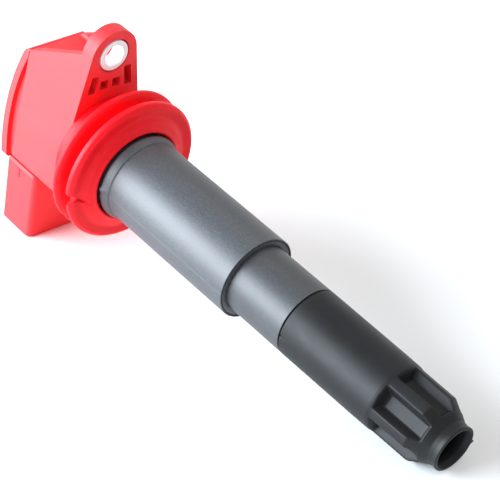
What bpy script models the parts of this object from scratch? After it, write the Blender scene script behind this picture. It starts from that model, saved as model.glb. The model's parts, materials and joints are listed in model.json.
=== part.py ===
"""Plug-top ignition coil, lying as it rests on a table.

Everything is modelled in the coil's own frame, under one parent empty: local Z
runs along the barrel towards the head, local X points to the bolt ear, and
local Z = 0 is the lower step of the barrel. The empty then lays the coil on
the floor, on its connector and its boot, with the bolt ear up.
"""

import math

import bmesh
import bpy
from mathutils import Matrix, Vector

# Where the coil balances along its barrel
BALANCE_Z = 0.0300

# Clearances and facets
GAP = 0.0003
CLEAR = 0.0020
MERGE = 0.00001
FINE_STEPS = 48
COARSE_STEPS = 28
CORE_STEPS = 24

# Barrel and tower
BARREL_R = 0.0120
BARREL_BORE_R = 0.0107
BARREL_TOP = 0.0629
BARREL_LIP_R = 0.0102
BARREL_LIP = 0.0012
BARREL_CHAMFER = 0.0004
COLLAR_R = 0.0129
COLLAR_FRONT_R = 0.0124
COLLAR_LOW = 0.0461
COLLAR_MIDDLE = 0.0484
COLLAR_HIGH = 0.0510
TOWER_R = 0.0099
TOWER_FLANGE_R = 0.0104
TOWER_FLANGE_LOW = BARREL_LIP + GAP
TOWER_TOP = 0.0027
TOWER_CUP_R = 0.0084
TOWER_CUP_FLOOR = -0.0142
TOWER_BORE_R = 0.0031
STUB_R = 0.0079
STUB_END = -0.0310

# Boot
BOOT_TOP = -0.0197
BOOT_R = 0.00993
BOOT_LOW_R = 0.0098
BOOT_EDGE = 0.0003
BOOT_TAPER_END = -0.0460
BOOT_ROLL = -0.0495
BOOT_SOCKET_R = STUB_R + GAP
BOOT_THROAT_R = 0.0039
PLUG_BORE_R = 0.00475
PLUG_BORE_TOP = -0.0485
STOP_LIP_R = 0.0027
STOP_LIP_TOP = -0.0473
RIB_R = 0.00945
RIB_TOP = -0.0515
SHOULDER_TOP = -0.0633
NECK_TOP = -0.0684
NOZZLE_R = 0.0064
NOZZLE_LEAD_IN = 0.0008
BOOT_END = -0.0710
GRIP_R = 0.00455
GRIP_LOW = -0.0598
GRIP_HIGH = -0.0588
GRIP_SLANT = 0.0004
FLUTES = 6
FLUTE_PHASE = math.radians(-57.0)
FLUTE_FLOOR = 0.0066
FLUTE_HALF_WIDTH = 0.0017
FLUTE_FLARE = 0.76
FLUTE_STEP_SLANT = 0.0012

# Seal between the flange and the plug well
SEAL_BORE_R = 0.0123
SEAL_NECK_R = 0.0164
SEAL_GROOVE_R = 0.0168
SEAL_LIP_R = 0.0213
SEAL_FRONT_LIP_R = 0.0211
SEAL_LIP_ROUND = 0.0012
SEAL_REAR_LIP_Z = 0.0583
SEAL_FRONT_LIP_Z = 0.0522
SEAL_NOTCH_ANGLE = math.radians(-95.0)
SEAL_NOTCH = (0.0157, 0.0230, 0.0020)
SPIGOT_R = 0.0146
SPIGOT_END = 0.0545
BOSS_R = 0.0126
BOSS_TOP = 0.0671

# Head housing
SEAT_Z = 0.0651
EAR_BACK_Z = 0.0693
HEAD_BLANK_TOP = 0.0950
ABOVE_HEAD = 0.1000
BESIDE_HEAD = 0.0300
EAR_X = 0.0290
EAR_R = 0.0075
FLARE = math.radians(10.7)
BOTTOM_X = -0.01065
RIDGE_X = 0.0206
SLOPE_FOOT_X = 0.0286
SLOPE_HEAD_Z = 0.0878
RIM_HIGH = (0.0178, 0.0885)
RIM_LOW = (BOTTOM_X, 0.0854)
RIM_SAGITTA = 0.0005
CUP_WALL = 0.0020
CUP_FLOOR = 0.0715
CUP_CORNER_R = 0.0012
LEAD_WINDOW = (0.0040, 0.0100)
GUSSET = 0.0027
CORNER_R = 0.0009
POCKET_DEPTH = 0.0026
INNER_POCKET = (0.0194, 0.0216, 0.00105, 0.0030)
OUTER_POCKET = (0.0184, 0.0242, 0.0050, 0.0065)

# Bolt bush
BUSH_R = 0.0047
BUSH_BORE_R = 0.00355
BUSH_PROUD = 0.00015
BUSH_EDGE = 0.00025

# End cover
ARC_CENTRE = (0.0060, 0.0439)
ARC_OUTER_R = 0.0483
ARC_INNER_R = 0.0463
COVER_BOTTOM_X = -0.01185
COVER_NECK_INSET = 0.0013
COVER_PLUG_DEPTH = 0.0008
COVER_CORNER_R = 0.0016
COVER_PLAN_CORNER_R = 0.0006
COVER_LAND_CORNER_R = 0.0008
COVER_LOW = 0.0800

# Connector
SHROUD_END = -0.0350
SHROUD_STEP = -0.0140
SHROUD_CORNER_R = 0.0016
SHROUD_Y = 0.0132
SHROUD_LOW = 0.0755
SHROUD_HIGH = 0.0874
ROOT_Y = 0.0122
ROOT_LOW = 0.0761
ROOT_HIGH = 0.0848
SOCKET_Y = 0.0115
SOCKET_LOW = 0.0772
SOCKET_HIGH = 0.0857
SOCKET_FLOOR = -0.0205
SOCKET_CORNER_R = 0.0010
NOSE_FOOT = -0.0320
NOSE_CREST = -0.0288
NOSE_BACK = -0.0275
NOSE_HEIGHT = 0.0012
NOSE_HALF_WIDTH = 0.0030
PINS = 4
PIN_PITCH = 0.0050
PIN_TIP = -0.0275
PIN_TAPER = 0.0010
PIN_LEG_X = -0.0054
PIN_LOW = 0.08105
PIN_THICK = 0.0008
PIN_WIDTH = 0.0020

# Electronics in the head
SPREADER_LOW = 0.0718
BOARD_LOW = 0.0735
BOARD_HIGH = 0.0743
PARTS_LOW = BOARD_HIGH + GAP
SPREADER_PLAN = (-0.0045, 0.0160, 0.0068)
BOARD_PLAN = (-0.0075, 0.0165, 0.0072)
TRANSISTOR_PLAN = (0.0050, 0.0145, 0.0048)
TRANSISTOR_HEIGHT = 0.0034
CHIP_PLAN = (-0.0030, 0.0028, 0.0026)
CHIP_HEIGHT = 0.0016
RESIN_LOW = 0.0823
RESIN_HIGH = 0.0844

# Coil stack, from the axis outwards
CORE_R = 0.0045
CORE_LOW = 0.0070
CORE_HIGH = 0.0470
MAGNET = 0.0027
DAMPER = 0.0030
INNER_SPOOL = (0.0048, 0.0055, 0.0072, 0.0030, 0.0545)
INNER_COIL = (0.0058, 0.0070, 0.0048, 0.0518)
OUTER_SPOOL = (0.0075, 0.0081, 0.0093, 0.0031, 0.0562)
OUTER_COIL = (0.0084, 0.0092, 0.0050, 0.0545)
SPOOL_FLANGE = 0.0014
OUTER_CORE = (0.0096, 0.0104, 0.0036, 0.0565)
OUTER_CORE_SLIT = 0.0012
LEAD_R = 0.00045
LEAD_Y = 0.0089
LEAD_LOW = 0.0566
LEAD_TOP = PARTS_LOW + 0.0005
LEAD_END_Y = 0.0056
LEAD_BEND_R = 0.0008
LEAD_HOLE_STEPS = 12
LEAD_HOLE_TURN = math.radians(7.0)
TOP_RESIN = (0.0104, 0.0573, 0.0626)

# Contact end
TERMINAL_TOP = 0.0024
TERMINAL_R = 0.0050
TERMINAL_PLATE = 0.0010
TERMINAL_STEM_R = 0.0015
TERMINAL_FOOT_R = 0.0026
TERMINAL_FOOT = 0.0008
RESISTOR_R = 0.0027
RESISTOR_TOP = -0.0145
RESISTOR_LOW = -0.0290
RESISTOR_END_CAP = 0.0022
RESISTOR_WAIST_R = 0.0024
SPRING_R = 0.0021
SPRING_WIRE_R = 0.00035
SPRING_TOP = -0.0297
SPRING_LOW = -0.0456
SPRING_TURNS = 7
SPRING_POINTS_PER_TURN = 11
CAP_R = 0.0033
CAP_TOP = -0.0462
CAP_SHOULDER = STOP_LIP_TOP + GAP
CAP_NOSE_R = 0.0024
CAP_NOSE_END = -0.0518
CAP_PEG_R = 0.0014
CAP_PEG_TOP = -0.0440
CAP_NOSE_CHAMFER = 0.0008


# ---------------------------------------------------------------- scene set-up
def clear_scene():
    for old in list(bpy.data.objects):
        bpy.data.objects.remove(old, do_unlink=True)


def new_collection(name):
    collection = bpy.data.collections.new(name)
    bpy.context.scene.collection.children.link(collection)
    return collection


clear_scene()
PARTS = new_collection("ignition_coil")
CUTTERS = new_collection("ignition_coil_cutters")
CUTTERS.hide_render = True
COIL = bpy.data.objects.new("coil_frame", None)
PARTS.objects.link(COIL)


def material(name, colour, roughness, metallic=0.0):
    made = bpy.data.materials.new(name)
    made.use_nodes = True
    shader = made.node_tree.nodes["Principled BSDF"]
    shader.inputs["Base Color"].default_value = (*colour, 1.0)
    shader.inputs["Roughness"].default_value = roughness
    shader.inputs["Metallic"].default_value = metallic
    return made


RED_PLASTIC = material("red_plastic", (0.72, 0.010, 0.022), 0.32)
RED_SILICONE = material("red_silicone", (0.90, 0.012, 0.028), 0.42)
GREY_PLASTIC = material("grey_plastic", (0.19, 0.215, 0.245), 0.34)
BLACK_RUBBER = material("black_rubber", (0.030, 0.032, 0.036), 0.50)
PLATED_STEEL = material("plated_steel", (0.78, 0.79, 0.80), 0.22, 1.0)
SPRING_STEEL = material("spring_steel", (0.62, 0.62, 0.63), 0.28, 1.0)
TINNED_BRASS = material("tinned_brass", (0.76, 0.72, 0.62), 0.28, 1.0)
BRASS = material("brass", (0.78, 0.56, 0.22), 0.30, 1.0)
COPPER = material("enamelled_copper", (0.55, 0.20, 0.07), 0.35, 1.0)
CORE_STEEL = material("core_steel", (0.42, 0.43, 0.45), 0.45, 1.0)
MAGNET_GREY = material("magnet", (0.10, 0.10, 0.11), 0.55)
SPOOL_PLASTIC = material("spool_plastic", (0.75, 0.72, 0.62), 0.45)
ALUMINIUM = material("aluminium", (0.72, 0.73, 0.75), 0.35, 1.0)
CERAMIC = material("ceramic", (0.85, 0.84, 0.80), 0.40)
CHIP_BLACK = material("moulded_chip", (0.02, 0.02, 0.022), 0.45)
RESIN = material("potting_resin", (0.045, 0.035, 0.030), 0.25)
DAMPER_RUBBER = material("damper_rubber", (0.06, 0.06, 0.06), 0.60)


# -------------------------------------------------------------- shape helpers
def add_object(name, mesh, finish=None):
    """A part when it has a finish, otherwise a cutter that the build leaves out."""
    made = bpy.data.objects.new(name, mesh)
    made.parent = COIL
    if finish is None:
        CUTTERS.objects.link(made)
        made.hide_render = True
        made.display_type = "WIRE"
    else:
        PARTS.objects.link(made)
        mesh.materials.append(finish)
    return made


def arc(centre, radius, start, end, steps):
    """Points on a circle from one angle to another, both ends included."""
    points = []
    for step in range(steps + 1):
        angle = start + (end - start) * step / steps
        points.append((centre[0] + radius * math.cos(angle), centre[1] + radius * math.sin(angle)))
    return points


def bowed(first, last, sagitta, steps):
    """A shallow bow between two points, bulging to the left of the way it runs."""
    start = Vector(first)
    run = Vector(last) - start
    side = Vector((-run.y, run.x)).normalized()
    points = []
    for step in range(steps + 1):
        share = step / steps
        points.append(tuple(start + run * share + side * sagitta * 4.0 * share * (1.0 - share)))
    return points


def rounded(corners, radius, steps=3):
    """The closed outline through these corners, each one turned into an arc."""
    points = []
    count = len(corners)
    for index, corner in enumerate(corners):
        here = Vector(corner)
        before = (Vector(corners[index - 1]) - here).normalized()
        after = (Vector(corners[(index + 1) % count]) - here).normalized()
        half = before.angle(after) / 2.0
        centre = here + (before + after).normalized() * radius / math.sin(half)
        first = here + before * radius / math.tan(half) - centre
        last = here + after * radius / math.tan(half) - centre
        start = math.atan2(first.y, first.x)
        turn = (math.atan2(last.y, last.x) - start + math.pi) % (2.0 * math.pi) - math.pi
        points.extend(arc(centre, radius, start, start + turn, steps))
    return points


def prism(name, outline, low, high, finish=None, plane="XY"):
    """A flat outline drawn in XY, XZ or YZ, extruded along the third axis from low to high."""
    curve = bpy.data.curves.new(name, "CURVE")
    curve.dimensions = "2D"
    curve.fill_mode = "BOTH"
    curve.extrude = (high - low) / 2.0
    spline = curve.splines.new("POLY")
    spline.points.add(len(outline) - 1)
    for point, (first, second) in zip(spline.points, outline):
        point.co = (first, second, 0.0, 1.0)
    spline.use_cyclic_u = True
    drawn = bpy.data.objects.new(name + "_outline", curve)
    bpy.context.scene.collection.objects.link(drawn)
    bpy.context.view_layer.update()
    mesh = bpy.data.meshes.new_from_object(drawn.evaluated_get(bpy.context.evaluated_depsgraph_get()))
    bpy.data.objects.remove(drawn, do_unlink=True)
    middle = (low + high) / 2.0
    if plane == "XY":
        place = Matrix.Translation((0.0, 0.0, middle))
    elif plane == "XZ":
        place = Matrix.Translation((0.0, middle, 0.0)) @ Matrix.Rotation(math.pi / 2.0, 4, "X")
    else:
        turn = Matrix(((0, 0, 1, 0), (1, 0, 0, 0), (0, 1, 0, 0), (0, 0, 0, 1)))
        place = Matrix.Translation((middle, 0.0, 0.0)) @ turn
    mesh.transform(place)
    made = bmesh.new()
    made.from_mesh(mesh)
    bmesh.ops.remove_doubles(made, verts=made.verts, dist=MERGE)
    bmesh.ops.recalc_face_normals(made, faces=made.faces)
    made.to_mesh(mesh)
    made.free()
    mesh.materials.clear()
    return add_object(name, mesh, finish)


def block(name, low, high, finish=None):
    """A rectangular block between two corners."""
    made = bmesh.new()
    bmesh.ops.create_cube(made, size=1.0)
    size = Vector(high) - Vector(low)
    middle = (Vector(high) + Vector(low)) / 2.0
    bmesh.ops.scale(made, vec=size, verts=made.verts)
    bmesh.ops.translate(made, vec=middle, verts=made.verts)
    mesh = bpy.data.meshes.new(name)
    made.to_mesh(mesh)
    made.free()
    return add_object(name, mesh, finish)


def turned(name, profile, finish=None, steps=FINE_STEPS, closed=True):
    """A profile of (radius, height) points, down its outer side first, turned about the coil's axis."""
    mesh = bpy.data.meshes.new(name)
    edges = [(index, index + 1) for index in range(len(profile) - 1)]
    if closed:
        edges.append((len(profile) - 1, 0))
    mesh.from_pydata([(radius, 0.0, height) for radius, height in profile], edges, [])
    made = add_object(name, mesh, finish)
    screw = made.modifiers.new("turn", "SCREW")
    screw.axis = "Z"
    screw.angle = 2.0 * math.pi
    screw.steps = steps
    screw.render_steps = steps
    screw.use_merge_vertices = True
    screw.merge_threshold = MERGE
    screw.use_smooth_shade = True
    return made


def ring(name, inner, outer, low, high, finish=None, steps=COARSE_STEPS):
    profile = [(outer, high), (outer, low), (inner, low), (inner, high)]
    return turned(name, profile, finish, steps)


def rod(name, radius, low, high, finish=None, steps=COARSE_STEPS):
    profile = [(0.0, high), (radius, high), (radius, low), (0.0, low)]
    return turned(name, profile, finish, steps, closed=False)


def moved(made, offset):
    """Puts a turned shape's axis away from the barrel's."""
    made.location = offset
    return made


def boolean(target, other, operation):
    step = target.modifiers.new(other.name, "BOOLEAN")
    step.operation = operation
    step.object = other
    step.solver = "EXACT"


def cut(target, *cutters):
    for cutter in cutters:
        boolean(target, cutter, "DIFFERENCE")


def join(target, *others):
    for other in others:
        boolean(target, other, "UNION")


# ------------------------------------------------------------ head outlines
def side_y(x, inset=0.0):
    """Half width of the head at x: its flared sides are tangent to the ear's round end."""
    return (EAR_R - inset) / math.cos(FLARE) + (EAR_X - x) * math.tan(FLARE)


def ear_outline():
    """The flange with its bolt ear, from the connector side round the ear's end and back."""
    tangent = math.pi / 2.0 - FLARE
    corners = [(BOTTOM_X, -side_y(BOTTOM_X)), (BOTTOM_X, side_y(BOTTOM_X))]
    return corners + arc((EAR_X, 0.0), EAR_R, tangent, -tangent, 16)


def wedge_outline(bottom_x, top_x, inset, radius=CORNER_R):
    """The head's tapered plan between two heights along X, drawn in from the outside by inset."""
    low = bottom_x + inset
    high = top_x - inset
    corners = [
        (low, -side_y(low, inset)),
        (low, side_y(low, inset)),
        (high, side_y(high, inset)),
        (high, -side_y(high, inset)),
    ]
    return rounded(corners, radius)


def rim_line(lift=0.0):
    """The cup's rim seen from the side, from the connector end to the ear end."""
    points = bowed(RIM_LOW, RIM_HIGH, RIM_SAGITTA, 5)
    return [(x, z + lift) for x, z in points]


def cover_arc(radius, first_x, last_x, steps):
    """Points of the end cover's arch between two values of x."""
    start = math.acos((first_x - ARC_CENTRE[0]) / radius)
    end = math.acos((last_x - ARC_CENTRE[0]) / radius)
    return arc(ARC_CENTRE, radius, start, end, steps)


# ------------------------------------------------------------- head housing
def head_housing():
    housing = prism("head_housing", ear_outline(), SEAT_Z, HEAD_BLANK_TOP, RED_PLASTIC)
    far = EAR_X + 2.0 * EAR_R
    side_view = [
        (BOTTOM_X - CLEAR, SEAT_Z - CLEAR),
        (far, SEAT_Z - CLEAR),
        (far, EAR_BACK_Z),
        (SLOPE_FOOT_X, EAR_BACK_Z),
        (RIDGE_X, SLOPE_HEAD_Z),
        (RIDGE_X, RIM_HIGH[1]),
    ]
    side_view += rim_line()[::-1]
    side_view.append((BOTTOM_X - CLEAR, RIM_LOW[1] - RIM_SAGITTA))
    view = prism("head_side_view", side_view, -BESIDE_HEAD, BESIDE_HEAD, plane="XZ")
    boolean(housing, view, "INTERSECT")
    join(housing, spigot(), *shroud())
    cut(housing, gusset_recess(), cup(), barrel_bore(), lead_window(), bush_bore(), socket())
    cut(housing, *front_pockets())
    cut(housing, *pin_slots())
    return housing


def spigot():
    """The round skirt below the flange that holds the barrel and carries the seal."""
    shoulder = SEAT_Z - GAP
    profile = [
        (0.0, BOSS_TOP),
        (BOSS_R, BOSS_TOP),
        (BOSS_R, shoulder),
        (SPIGOT_R, shoulder),
        (SPIGOT_R, SPIGOT_END),
        (0.0, SPIGOT_END),
    ]
    return turned("spigot", profile, closed=False)


def shroud():
    """The connector's shroud, its narrower root and the latch nose on its back."""
    outer = rounded(frame_corners(SHROUD_Y, SHROUD_LOW, SHROUD_HIGH), SHROUD_CORNER_R)
    body = prism("shroud_body", outer, SHROUD_END, SHROUD_STEP, plane="YZ")
    root_low = (SHROUD_STEP - CLEAR, -ROOT_Y, ROOT_LOW)
    root_high = (BOTTOM_X + CUP_WALL / 2.0, ROOT_Y, ROOT_HIGH)
    root = block("shroud_root", root_low, root_high)
    sunk = SHROUD_HIGH - GAP
    crest = SHROUD_HIGH + NOSE_HEIGHT
    profile = [(NOSE_FOOT, sunk), (NOSE_BACK, sunk), (NOSE_BACK, crest), (NOSE_CREST, crest)]
    nose = prism("latch_nose", profile, -NOSE_HALF_WIDTH, NOSE_HALF_WIDTH, plane="XZ")
    return body, root, nose


def frame_corners(half_width, low, high):
    """The corners of a frame across the connector, as (y, z)."""
    return [(-half_width, low), (half_width, low), (half_width, high), (-half_width, high)]


def gusset_recess():
    """The hollow behind the ear, between two side gussets."""
    far = EAR_X + EAR_R / 2.0
    wall = GUSSET / math.cos(FLARE)
    outline = [
        (RIDGE_X, -side_y(RIDGE_X) + wall),
        (RIDGE_X, side_y(RIDGE_X) - wall),
        (far, side_y(far) - wall),
        (far, -side_y(far) + wall),
    ]
    return prism("gusset_recess", outline, EAR_BACK_Z, ABOVE_HEAD)


def cup():
    outline = wedge_outline(BOTTOM_X, RIDGE_X, CUP_WALL, CUP_CORNER_R)
    return prism("cup", outline, CUP_FLOOR, ABOVE_HEAD)


def barrel_bore():
    return rod("barrel_bore", BARREL_R + GAP, SPIGOT_END - CLEAR, BARREL_TOP + GAP, None, FINE_STEPS)


def lead_window():
    """The opening between the barrel and the cup, where the winding's ends come up."""
    half_x, half_y = LEAD_WINDOW
    low = (-half_x, -half_y, BARREL_TOP - CLEAR / 2.0)
    return block("lead_window", low, (half_x, half_y, CUP_FLOOR + CLEAR / 2.0))


def bush_bore():
    hole = rod("bush_bore", BUSH_R + GAP, SEAT_Z - CLEAR, EAR_BACK_Z + CLEAR)
    return moved(hole, (EAR_X, 0.0, 0.0))


def socket():
    outline = rounded(frame_corners(SOCKET_Y, SOCKET_LOW, SOCKET_HIGH), SOCKET_CORNER_R)
    return prism("socket", outline, SHROUD_END - CLEAR, SOCKET_FLOOR, plane="YZ")


def front_pockets():
    """Moulding pockets in the ear's seating face, mirrored about the middle."""
    made = []
    for side in (-1.0, 1.0):
        low_x, high_x, near, far = INNER_POCKET
        inner = [(low_x, side * near), (high_x, side * near), (high_x, side * far), (low_x, side * far)]
        low_x, high_x, near, far = OUTER_POCKET
        lean = (high_x - low_x) * math.tan(FLARE)
        outer = [
            (low_x, side * (near + lean)),
            (high_x, side * near),
            (high_x, side * far),
            (low_x, side * (far + lean)),
        ]
        for label, outline in (("inner", inner), ("outer", outer)):
            name = "pocket_%s_%s" % (label, "right" if side > 0 else "left")
            made.append(prism(name, outline[::int(side)], SEAT_Z - CLEAR, SEAT_Z + POCKET_DEPTH))
    return made


def pin_y(index):
    return (index - (PINS - 1) / 2.0) * PIN_PITCH


def pin_slots():
    half = PIN_WIDTH / 2.0 + GAP
    made = []
    for index in range(PINS):
        low = (SOCKET_FLOOR - CLEAR, pin_y(index) - half, PIN_LOW - GAP)
        high = (BOTTOM_X + CUP_WALL + CLEAR, pin_y(index) + half, PIN_LOW + PIN_THICK + GAP)
        made.append(block("pin_slot_%d" % (index + 1), low, high))
    return made


# ---------------------------------------------------------------- end cover
def end_cover():
    outline = wedge_outline(COVER_BOTTOM_X, RIDGE_X, 0.0, COVER_PLAN_CORNER_R)
    cover = prism("end_cover", outline, COVER_LOW, ABOVE_HEAD, RED_PLASTIC)
    corner = COVER_CORNER_R
    outer = cover_arc(ARC_OUTER_R, COVER_BOTTOM_X - CLEAR, RIDGE_X - corner, 14)
    last = outer[-1]
    turn = arc((RIDGE_X - corner, last[1] - corner), corner, math.pi / 2.0, 0.0, 4)
    under = cover_arc(ARC_INNER_R, RIM_HIGH[0], COVER_BOTTOM_X - CLEAR, 12)
    seat = RIM_HIGH[1] + GAP
    side_view = outer + turn[1:] + [(RIDGE_X, seat), (RIM_HIGH[0], seat)] + under[1:]
    plate = prism("cover_side_view", side_view[::-1], -BESIDE_HEAD, BESIDE_HEAD, plane="XZ")
    boolean(cover, plate, "INTERSECT")
    neck = cover_land("cover_neck", COVER_NECK_INSET, GAP)
    plug = cover_land("cover_plug", CUP_WALL + GAP, -COVER_PLUG_DEPTH)
    join(cover, neck, plug)
    return cover


def cover_land(name, inset, lift):
    """What fills the wedge between the rim and the arch, drawn in from the outside."""
    outline = wedge_outline(BOTTOM_X, RIDGE_X, inset, COVER_LAND_CORNER_R)
    land = prism(name, outline, COVER_LOW, ABOVE_HEAD)
    near = BOTTOM_X - CLEAR / 2.0
    far = RIDGE_X - CLEAR / 2.0
    top = cover_arc((ARC_OUTER_R + ARC_INNER_R) / 2.0, far, near, 12)
    rim = rim_line(lift)
    rim[0] = (near, rim[0][1])
    rim[-1] = (far, rim[-1][1])
    view = prism(name + "_view", rim + top, -BESIDE_HEAD, BESIDE_HEAD, plane="XZ")
    boolean(land, view, "INTERSECT")
    return land


# ------------------------------------------------------------ bush and seal
def mounting_bush():
    low = SEAT_Z - BUSH_PROUD
    high = EAR_BACK_Z + BUSH_PROUD
    edge = BUSH_EDGE
    profile = [
        (BUSH_R - edge, high),
        (BUSH_R, high - edge),
        (BUSH_R, low + edge),
        (BUSH_R - edge, low),
        (BUSH_BORE_R + edge, low),
        (BUSH_BORE_R, low + edge),
        (BUSH_BORE_R, high - edge),
        (BUSH_BORE_R + edge, high),
    ]
    bush = turned("mounting_bush", profile, PLATED_STEEL, COARSE_STEPS)
    return moved(bush, (EAR_X, 0.0, 0.0))


def flange_seal():
    """A spool-shaped silicone seal with two sealing lips, and a vent notch in the front one."""
    rear = SEAL_REAR_LIP_Z
    front = SEAL_FRONT_LIP_Z
    edge = SEAL_LIP_ROUND
    top = SEAT_Z - GAP
    shelf = SPIGOT_END - GAP
    profile = [
        (SEAL_NECK_R, top),
        (SEAL_NECK_R, rear + 0.0026),
        (SEAL_NECK_R + 0.0010, rear + 0.0018),
    ]
    profile += arc((SEAL_LIP_R - edge, rear), edge, math.radians(80), math.radians(-80), 4)
    profile += [
        (SEAL_GROOVE_R + 0.0006, rear - 0.0017),
        (SEAL_GROOVE_R, rear - 0.0024),
        (SEAL_GROOVE_R, front + 0.0027),
        (SEAL_GROOVE_R + 0.0006, front + 0.0020),
    ]
    profile += arc((SEAL_FRONT_LIP_R - edge, front), edge, math.radians(80), math.radians(-85), 4)
    profile += [
        (0.0170, front - 0.0013),
        (0.0160, front - 0.0011),
        (0.0136, front + 0.0001),
        (SEAL_BORE_R, front + 0.0007),
        (SEAL_BORE_R, shelf),
        (SPIGOT_R + GAP, shelf),
        (SPIGOT_R + GAP, top),
    ]
    seal = turned("flange_seal", profile, RED_SILICONE)
    apex, outside, half = SEAL_NOTCH
    outline = [(apex, 0.0), (outside, -half), (outside, half)]
    notch = prism("seal_notch", outline, front - 2.0 * edge, front + 2.0 * edge)
    notch.rotation_euler = (0.0, 0.0, SEAL_NOTCH_ANGLE)
    cut(seal, notch)
    return seal


# --------------------------------------------------- barrel, tower and boot
def barrel_case():
    profile = [
        (BARREL_R, BARREL_TOP),
        (BARREL_R, COLLAR_HIGH),
        (COLLAR_R, COLLAR_HIGH - 0.0003),
        (COLLAR_R, COLLAR_MIDDLE),
        (COLLAR_FRONT_R, COLLAR_LOW),
        (BARREL_R, COLLAR_LOW - 0.0002),
        (BARREL_R, BARREL_CHAMFER),
        (BARREL_R - BARREL_CHAMFER, 0.0),
        (BARREL_LIP_R, 0.0),
        (BARREL_LIP_R, BARREL_LIP),
        (BARREL_BORE_R, BARREL_LIP),
        (BARREL_BORE_R, BARREL_TOP),
    ]
    return turned("barrel_case", profile, GREY_PLASTIC)


def tower_case():
    profile = [
        (TOWER_FLANGE_R, TOWER_TOP),
        (TOWER_FLANGE_R, TOWER_FLANGE_LOW),
        (TOWER_R, TOWER_FLANGE_LOW),
        (TOWER_R, BOOT_TOP + GAP),
        (STUB_R, BOOT_TOP + GAP),
        (STUB_R, STUB_END + 0.0006),
        (STUB_R - 0.0006, STUB_END),
        (TOWER_BORE_R, STUB_END),
        (TOWER_BORE_R, TOWER_CUP_FLOOR),
        (TOWER_CUP_R, TOWER_CUP_FLOOR),
        (TOWER_CUP_R, TOWER_TOP),
    ]
    return turned("tower_case", profile, GREY_PLASTIC)


def plug_boot():
    """A rubber boot: it grips the tower above and the spark plug's insulator below."""
    profile = [
        (BOOT_R - BOOT_EDGE, BOOT_TOP),
        (BOOT_R, BOOT_TOP - BOOT_EDGE),
        (BOOT_LOW_R, BOOT_TAPER_END),
        (BOOT_LOW_R, BOOT_ROLL),
        (RIB_R, RIB_TOP),
        (RIB_R, SHOULDER_TOP),
        (NOZZLE_R, NECK_TOP),
        (NOZZLE_R, BOOT_END + BOOT_EDGE),
        (NOZZLE_R - BOOT_EDGE, BOOT_END),
        (PLUG_BORE_R + NOZZLE_LEAD_IN / 2.0, BOOT_END),
        (PLUG_BORE_R, BOOT_END + NOZZLE_LEAD_IN),
        (PLUG_BORE_R, GRIP_LOW - GRIP_SLANT),
        (GRIP_R, GRIP_LOW),
        (GRIP_R, GRIP_HIGH),
        (PLUG_BORE_R, GRIP_HIGH + GRIP_SLANT),
        (PLUG_BORE_R, PLUG_BORE_TOP),
        (STOP_LIP_R, PLUG_BORE_TOP),
        (STOP_LIP_R, STOP_LIP_TOP),
        (BOOT_THROAT_R, STOP_LIP_TOP),
        (BOOT_THROAT_R, STUB_END - GAP),
        (BOOT_SOCKET_R, STUB_END - GAP),
        (BOOT_SOCKET_R, BOOT_TOP),
    ]
    boot = turned("plug_boot", profile, BLACK_RUBBER)
    cut(boot, *[flute_cutter(index) for index in range(FLUTES)])
    return boot


def flute_cutter(index):
    """One flat-floored flute with flared sides and a slanted upper step, open at its lower end."""
    outside = BOOT_R + CLEAR
    half_out = FLUTE_HALF_WIDTH + FLUTE_FLARE * (outside - FLUTE_FLOOR)
    outline = [
        (FLUTE_FLOOR, -FLUTE_HALF_WIDTH),
        (outside, -half_out),
        (outside, half_out),
        (FLUTE_FLOOR, FLUTE_HALF_WIDTH),
    ]
    cutter = prism("flute_%d" % (index + 1), outline, BOOT_END - CLEAR, RIB_TOP)
    for vertex in cutter.data.vertices:
        if vertex.co.z > RIB_TOP - MERGE and vertex.co.x < FLUTE_FLOOR + MERGE:
            vertex.co.z -= FLUTE_STEP_SLANT
    cutter.rotation_euler = (0.0, 0.0, FLUTE_PHASE + index * 2.0 * math.pi / FLUTES)
    return cutter


# --------------------------------------------------------------- connector
def connector_pin(index):
    """A blade in the socket whose inner end turns down to the driver board."""
    low = PIN_LOW
    high = PIN_LOW + PIN_THICK
    blunt = 0.3 * PIN_THICK
    outline = [
        (PIN_TIP, low + blunt),
        (PIN_TIP + PIN_TAPER, low),
        (PIN_LEG_X - PIN_THICK, low),
        (PIN_LEG_X - PIN_THICK, PARTS_LOW),
        (PIN_LEG_X, PARTS_LOW),
        (PIN_LEG_X, high),
        (PIN_TIP + PIN_TAPER, high),
        (PIN_TIP, high - blunt),
    ]
    middle = pin_y(index)
    half = PIN_WIDTH / 2.0
    name = "connector_pin_%d" % (index + 1)
    return prism(name, outline, middle - half, middle + half, TINNED_BRASS, "XZ")


# ------------------------------------------------------- driver electronics
def driver_electronics():
    slab("heat_spreader", SPREADER_PLAN, SPREADER_LOW, BOARD_LOW - GAP, ALUMINIUM)
    slab("driver_board", BOARD_PLAN, BOARD_LOW, BOARD_HIGH, CERAMIC)
    slab("power_transistor", TRANSISTOR_PLAN, PARTS_LOW, PARTS_LOW + TRANSISTOR_HEIGHT, CHIP_BLACK)
    slab("control_chip", CHIP_PLAN, PARTS_LOW, PARTS_LOW + CHIP_HEIGHT, CHIP_BLACK)
    outline = wedge_outline(BOTTOM_X, RIDGE_X, CUP_WALL + GAP)
    prism("head_resin", outline, RESIN_LOW, RESIN_HIGH, RESIN)


def slab(name, plan, low, high, finish):
    """A flat block lying across the head: plan is its two x values and its half width."""
    first, last, half = plan
    return block(name, (first, -half, low), (last, half, high), finish)


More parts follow.
